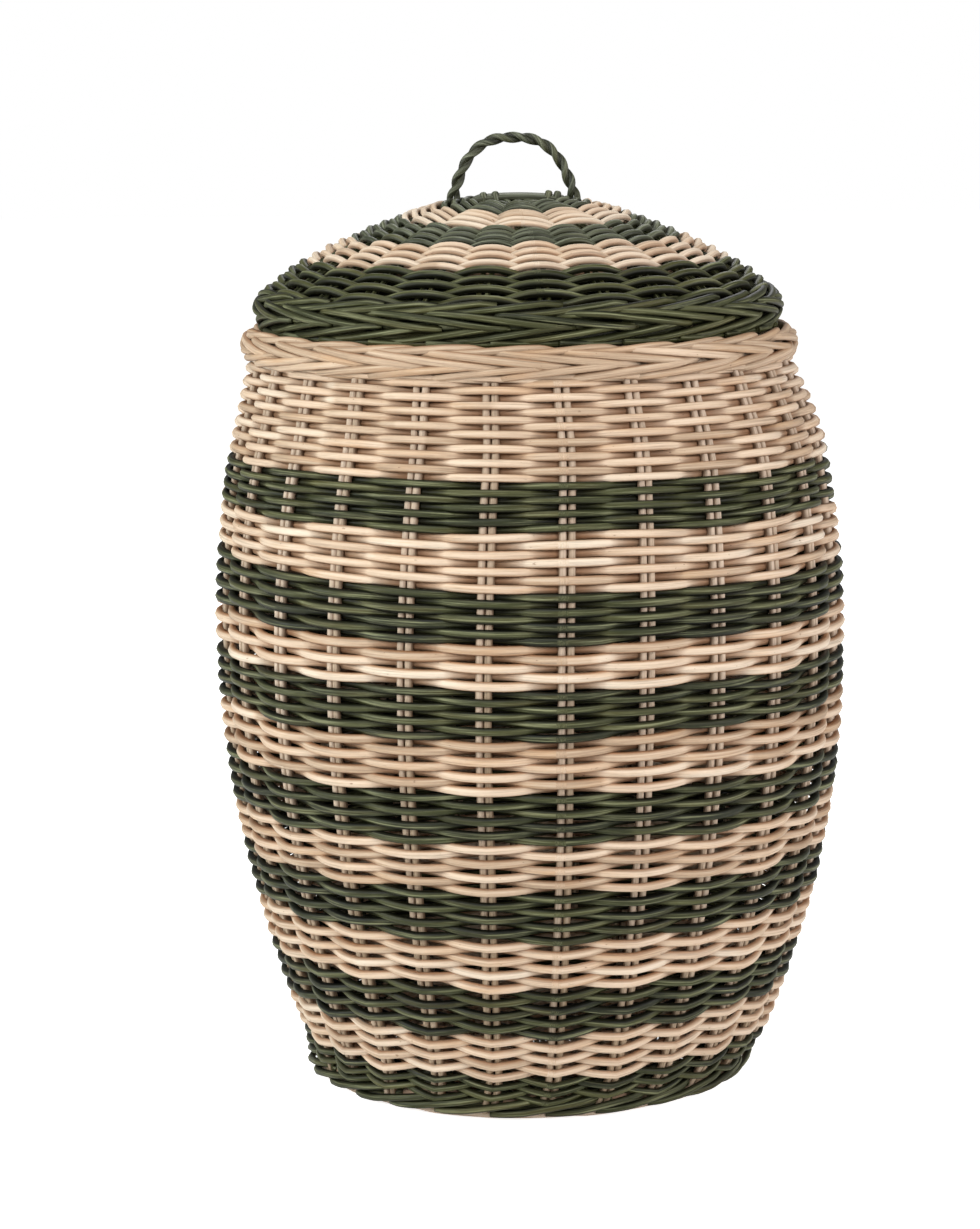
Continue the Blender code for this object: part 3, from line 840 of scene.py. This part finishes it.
def cane_material(name, tones, stain, stain_most, streak, streak_most, speck, speck_most, crevice_shade, edge,
                  rough, gloss):
    """Cane with its fibres running along it, in the colour of its tone, with stains in patches, streaks
    along the fibres and small specks, each at most so strong. Painted shade: it is multiplied by a dark
    colour along its sides, further than edge from its middle, where it lies against its neighbours, and
    on the outside where it passes behind a stake."""
    n = Nodes(name)
    grain = n.attribute("grain", "Vector")
    tone = n.attribute("tone")
    fibre = n.noise(grain, (26.0, 1000.0, 1000.0), 4.0, 0.6)
    fine = n.noise(grain, (60.0, 2800.0, 2800.0), 2.0)
    patch = n.noise(grain, (16.0, 150.0, 150.0), 3.0)
    slow = n.noise(grain, (5.0, 20.0, 20.0), 2.0)
    spots = n.noise(grain, (210.0, 520.0, 520.0), 2.0)
    shade = n.maths("ADD", tone, n.remap(slow, 0.3, 0.7, -0.22, 0.22))
    colour = n.ramp(shade, tones)
    colour = n.mix(n.remap(patch, 0.50, 0.72, 0.0, stain_most), colour, (*stain, 1.0))
    colour = n.mix(n.remap(fibre, 0.50, 0.68, 0.0, streak_most), colour, (*streak, 1.0))
    dark = n.remap(fibre, 0.28, 0.50, 0.62, 1.0)
    colour = n.mix(1.0, colour, dark, "MULTIPLY")
    colour = n.mix(n.remap(spots, 0.70, 0.78, 0.0, speck_most), colour, (*speck, 1.0))
    # Painted shade: darker along the sides where canes meet, and on the outer side behind a stake.
    parts = n.make("ShaderNodeSeparateXYZ", {0: grain}).outputs
    side = n.remap(n.maths("ABSOLUTE", parts["Z"], 0.0), edge, edge + 0.0014)
    deep = n.attribute("deep")
    outside = n.remap(parts["Y"], -0.0008, 0.0008, 0.0, 0.8)
    side = n.maths("MAXIMUM", side, n.maths("MULTIPLY", n.remap(deep, 0.0, 0.9), outside))
    colour = n.mix(side, colour, n.mix(1.0, colour, (*crevice_shade, 1.0), "MULTIPLY"))
    n.put(colour, n.shader.inputs["Base Color"])
    n.put(n.remap(fibre, 0.3, 0.7, rough - 0.07, rough + 0.09), n.shader.inputs["Roughness"])
    height = n.maths("ADD", n.maths("MULTIPLY", fibre, 0.7), n.maths("MULTIPLY", fine, 0.3))
    bump = n.make("ShaderNodeBump", {"Strength": 0.35, "Distance": 0.0004, "Height": height})
    n.put(bump.outputs["Normal"], n.shader.inputs["Normal"])
    n.shader.inputs["Specular IOR Level"].default_value = gloss
    return n.material


def build_materials():
    # In each material the dark colour that the sides of a cane are multiplied by is painted shade.
    natural = cane_material(
        "natural cane",
        tones=((0.0, (0.325, 0.227, 0.150)), (0.5, (0.475, 0.354, 0.256)),
               (1.0, (0.535, 0.445, 0.352))),
        stain=(0.40, 0.235, 0.120), stain_most=0.55, streak=(0.58, 0.500, 0.405), streak_most=0.32,
        speck=(0.12, 0.06, 0.03), speck_most=0.75, crevice_shade=(0.58, 0.37, 0.23), edge=0.0015,
        rough=0.62, gloss=0.30,
    )
    stake = cane_material(
        "stake cane",
        tones=((0.0, (0.29, 0.210, 0.135)), (0.5, (0.44, 0.338, 0.252)),
               (1.0, (0.54, 0.430, 0.338))),
        stain=(0.32, 0.230, 0.150), stain_most=0.40, streak=(0.52, 0.440, 0.355), streak_most=0.30,
        speck=(0.10, 0.058, 0.032), speck_most=0.60, crevice_shade=(0.50, 0.38, 0.28), edge=0.0013,
        rough=0.64, gloss=0.30,
    )
    green = cane_material(
        "green cane",
        tones=((0.0, (0.013, 0.015, 0.0045)), (0.5, (0.028, 0.031, 0.0085)),
               (1.0, (0.056, 0.057, 0.020))),
        stain=(0.068, 0.056, 0.017), stain_most=0.50, streak=(0.185, 0.190, 0.105), streak_most=0.80,
        speck=(0.010, 0.009, 0.004), speck_most=0.6, crevice_shade=(0.07, 0.07, 0.025), edge=0.0008,
        rough=0.50, gloss=0.19,
    )
    # Painted sheen: the green cane again, lighter and greyer, as it looks where it catches light from
    # above.
    sheen_green = cane_material(
        "green cane with painted sheen",
        tones=((0.0, (0.022, 0.026, 0.0150)), (0.5, (0.042, 0.046, 0.0260)),
               (1.0, (0.070, 0.075, 0.046))),
        stain=(0.085, 0.080, 0.030), stain_most=0.50, streak=(0.200, 0.210, 0.150), streak_most=0.80,
        speck=(0.010, 0.009, 0.004), speck_most=0.6, crevice_shade=(0.16, 0.16, 0.10), edge=0.0010,
        rough=0.48, gloss=0.24,
    )
    return natural, stake, green, sheen_green


# ---------------------------------------------------------------- stage

WHITE = (1.0, 1.0, 1.0, 1.0)
FLOOR_COLOUR = (0.90, 0.90, 0.895, 1.0)
FLOOR_GLOW = 0.22             # light that the floor gives, as in a white studio
FLOOR_SEEN = 0.60             # and how much more the camera sees of it, for a pure white ground
AMBIENT = 0.28                # strength of the white surroundings, which the camera sees at full
AIM = Vector((0.0, 0.0, 0.30))
# Name, place, size, power and colour.
LIGHTS = (
    ("key", (-1.5, -2.2, 1.5), 0.9, 41.0, (1.0, 0.99, 0.97)),
    ("fill", (1.6, -2.1, 1.2), 0.9, 31.0, (1.0, 0.975, 0.96)),
    ("left", (-2.3, -0.5, 0.9), 0.9, 35.0, (0.93, 1.0, 0.97)),
    ("right", (2.3, -0.5, 0.9), 0.9, 23.0, (1.0, 0.98, 0.97)),
    ("top", (-0.3, -0.9, 2.5), 0.8, 31.0, (0.95, 1.0, 0.97)),
    ("back", (0.3, 2.3, 2.1), 1.2, 20.0, (1.0, 1.0, 1.0)),
)


def build_floor():
    bpy.ops.mesh.primitive_plane_add(size=24.0, location=(0.0, 0.0, -0.0002))
    floor = bpy.context.object
    floor.name = "floor"
    paint = Nodes("floor paint")
    paint.shader.inputs["Base Color"].default_value = FLOOR_COLOUR
    paint.shader.inputs["Roughness"].default_value = 0.8
    paint.shader.inputs["Emission Color"].default_value = WHITE
    watched = paint.make("ShaderNodeLightPath").outputs["Is Camera Ray"]
    glow = paint.maths("ADD", paint.maths("MULTIPLY", watched, FLOOR_SEEN), FLOOR_GLOW)
    paint.put(glow, paint.shader.inputs["Emission Strength"])
    floor.data.materials.append(paint.material)


def build_world():
    world = bpy.data.worlds.new("studio")
    world.use_nodes = True
    tree = world.node_tree
    backdrop = tree.nodes["Background"]
    backdrop.inputs["Color"].default_value = WHITE
    backdrop.inputs["Strength"].default_value = 1.0
    ambient = tree.nodes.new("ShaderNodeBackground")
    ambient.inputs["Color"].default_value = WHITE
    ambient.inputs["Strength"].default_value = AMBIENT
    seen = tree.nodes.new("ShaderNodeLightPath")
    either = tree.nodes.new("ShaderNodeMixShader")
    tree.links.new(seen.outputs["Is Camera Ray"], either.inputs[0])
    tree.links.new(ambient.outputs[0], either.inputs[1])
    tree.links.new(backdrop.outputs[0], either.inputs[2])
    tree.links.new(either.outputs[0], tree.nodes["World Output"].inputs["Surface"])
    bpy.context.scene.world = world
    bpy.context.scene.view_settings.view_transform = "Standard"
    bpy.context.scene.view_settings.look = "None"


def build_lights():
    for name, place, size, power, colour in LIGHTS:
        data = bpy.data.lights.new(name, "AREA")
        data.size = size
        data.energy = power
        data.color = colour
        lamp = bpy.data.objects.new(name, data)
        lamp.location = place
        aim = AIM - Vector(place)
        lamp.rotation_euler = aim.to_track_quat("-Z", "Y").to_euler()
        bpy.context.scene.collection.objects.link(lamp)


# The camera looks almost along +Y, from a little above: yaw is to the right, pitch is down, and roll
# tips its right side up.
CAMERA_PLACE = Vector((0.0, -2.1816, 0.6495))
CAMERA_YAW = -0.01197
CAMERA_PITCH = 0.16137
CAMERA_ROLL = -0.00991
CAMERA_LENS = 100.70
CAMERA_SENSOR = 36.0


def build_camera():
    sin_yaw, cos_yaw = math.sin(CAMERA_YAW), math.cos(CAMERA_YAW)
    sin_pitch, cos_pitch = math.sin(CAMERA_PITCH), math.cos(CAMERA_PITCH)
    sin_roll, cos_roll = math.sin(CAMERA_ROLL), math.cos(CAMERA_ROLL)
    forward = Vector((sin_yaw * cos_pitch, cos_yaw * cos_pitch, -sin_pitch))
    right = Vector((cos_yaw, -sin_yaw, 0.0))
    up = right.cross(forward)
    across = right * cos_roll + up * sin_roll
    above = up * cos_roll - right * sin_roll
    data = bpy.data.cameras.new("camera")
    data.sensor_width = CAMERA_SENSOR
    data.lens = CAMERA_LENS
    data.clip_end = 60.0
    camera = bpy.data.objects.new("camera", data)
    camera.matrix_world = Matrix((
        (across.x, above.x, -forward.x, CAMERA_PLACE.x),
        (across.y, above.y, -forward.y, CAMERA_PLACE.y),
        (across.z, above.z, -forward.z, CAMERA_PLACE.z),
        (0.0, 0.0, 0.0, 1.0),
    ))
    bpy.context.scene.collection.objects.link(camera)
    bpy.context.scene.camera = camera


NATURAL, STAKE_MATERIAL, GREEN, SHEEN_GREEN = build_materials()
build_wall(NATURAL, GREEN)
build_stakes(STAKE_MATERIAL)
build_rim(NATURAL)
build_foot(STAKE_MATERIAL, GREEN)
build_base(NATURAL, STAKE_MATERIAL)
# The lid's inner green, its crown and the handle take the green with painted sheen.
build_lid_weave(NATURAL, GREEN, SHEEN_GREEN)
build_lid_crown(SHEEN_GREEN)
build_lid_stakes(GREEN)
build_lid_border(GREEN)
build_handle(SHEEN_GREEN)
build_floor()
build_world()
build_lights()
build_camera()
